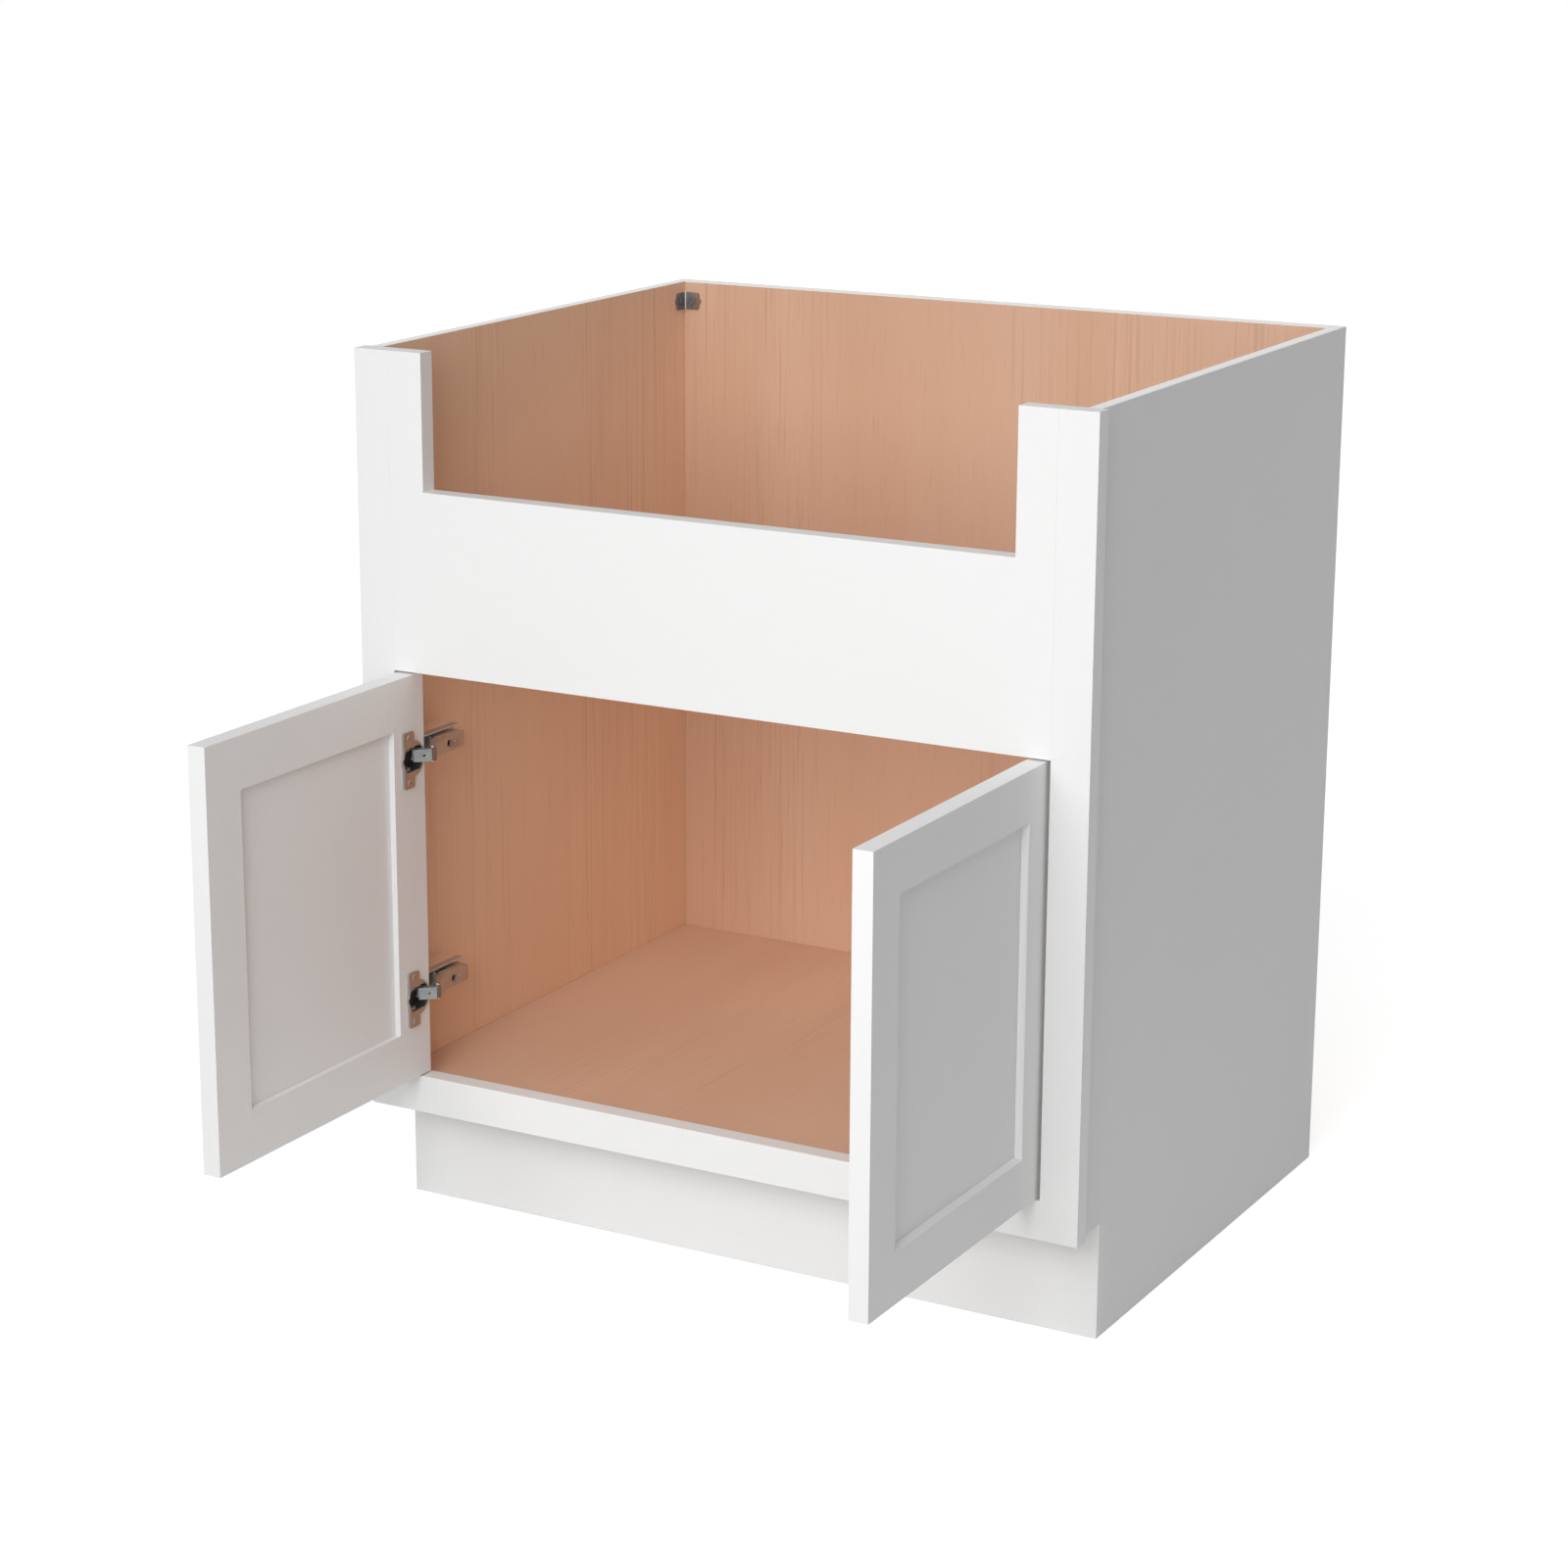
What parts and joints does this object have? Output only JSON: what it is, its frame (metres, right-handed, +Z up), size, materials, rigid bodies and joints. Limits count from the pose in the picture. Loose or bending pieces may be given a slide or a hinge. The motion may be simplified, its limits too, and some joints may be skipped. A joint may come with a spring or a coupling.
{
  "type": "sink base cabinet",
  "caption": "White sink base cabinet with a face frame, an apron cut down for the front of a sink, shaker doors open on concealed hinges, and a wood-veneer inside.",
  "frame": {"origin": "on the floor against the wall, half way along the cabinet: the bottom back edge of the back panel", "axes": "+X to the right as one faces the cabinet, +Y back into the wall, +Z up"},
  "size_m": [0.7746, 0.9386, 0.8763],
  "materials": {
    "white_paint": "satin white paint on wood",
    "wood_veneer": "clear satin lacquer on maple-coloured veneer; the top edges are painted pale",
    "hinge_nickel": "nickel-plated steel",
    "dark_steel": "dark plated steel"
  },
  "bodies": {
    "carcass": {"left_side_panel": "wood_veneer", "left_stile": "white_paint", "left_bracket": "dark_steel", "left_bracket_back_screw": "dark_steel", "left_bracket_side_screw": "dark_steel", "right_side_panel": "wood_veneer", "right_stile": "white_paint", "right_bracket": "dark_steel", "right_bracket_back_screw": "dark_steel", "right_bracket_side_screw": "dark_steel", "back_panel": "wood_veneer", "floor_panel": "wood_veneer", "toe_board": "white_paint", "bottom_rail": "white_paint", "apron": "white_paint", "left_upper_hinge_packer": "wood_veneer", "left_upper_hinge_plate": "hinge_nickel", "left_upper_hinge_arm": "hinge_nickel", "left_upper_hinge_adjusting_screw": "dark_steel", "left_upper_hinge_arm_pin": "dark_steel", "left_lower_hinge_packer": "wood_veneer", "left_lower_hinge_plate": "hinge_nickel", "left_lower_hinge_arm": "hinge_nickel", "left_lower_hinge_adjusting_screw": "dark_steel", "left_lower_hinge_arm_pin": "dark_steel", "right_upper_hinge_packer": "wood_veneer", "right_upper_hinge_plate": "hinge_nickel", "right_upper_hinge_arm": "hinge_nickel", "right_upper_hinge_adjusting_screw": "dark_steel", "right_upper_hinge_arm_pin": "dark_steel", "right_lower_hinge_packer": "wood_veneer", "right_lower_hinge_plate": "hinge_nickel", "right_lower_hinge_arm": "hinge_nickel", "right_lower_hinge_adjusting_screw": "dark_steel", "right_lower_hinge_arm_pin": "dark_steel"},
    "left_door": {"left_door_hinge_stile": "white_paint", "left_door_free_stile": "white_paint", "left_door_top_rail": "white_paint", "left_door_bottom_rail": "white_paint", "left_door_panel": "white_paint", "left_upper_hinge_cup": "hinge_nickel", "left_upper_hinge_spring": "dark_steel", "left_lower_hinge_cup": "hinge_nickel", "left_lower_hinge_spring": "dark_steel"},
    "left_links": {"left_upper_hinge_link": "hinge_nickel", "left_lower_hinge_link": "hinge_nickel"},
    "right_door": {"right_door_hinge_stile": "white_paint", "right_door_free_stile": "white_paint", "right_door_top_rail": "white_paint", "right_door_bottom_rail": "white_paint", "right_door_panel": "white_paint", "right_upper_hinge_cup": "hinge_nickel", "right_upper_hinge_spring": "dark_steel", "right_lower_hinge_cup": "hinge_nickel", "right_lower_hinge_spring": "dark_steel"},
    "right_links": {"right_upper_hinge_link": "hinge_nickel", "right_lower_hinge_link": "hinge_nickel"}
  },
  "joints": [
    {"name": "left_door_hinge", "type": "hinge", "parent": "carcass", "child": "left_door", "pos_m": [-0.33825, -0.6021, 0.3588], "axis": [0, 0, 1], "range_deg": [-14, 90]},
    {"name": "left_link_swing", "type": "hinge", "parent": "carcass", "child": "left_links", "pos_m": [-0.32105, -0.58805, 0.3588], "axis": [0, 0, 1], "range_deg": [-31, 6]},
    {"name": "right_door_hinge", "type": "hinge", "parent": "carcass", "child": "right_door", "pos_m": [0.33825, -0.6021, 0.3588], "axis": [0, 0, -1], "range_deg": [-14, 90]},
    {"name": "right_link_swing", "type": "hinge", "parent": "carcass", "child": "right_links", "pos_m": [0.32105, -0.58805, 0.3588], "axis": [0, 0, -1], "range_deg": [-31, 6]}
  ],
  "couplings": [
    {"joint": "left_link_swing", "follows": "left_door_hinge", "ratio": -0.34},
    {"joint": "right_link_swing", "follows": "right_door_hinge", "ratio": -0.34}
  ]
}
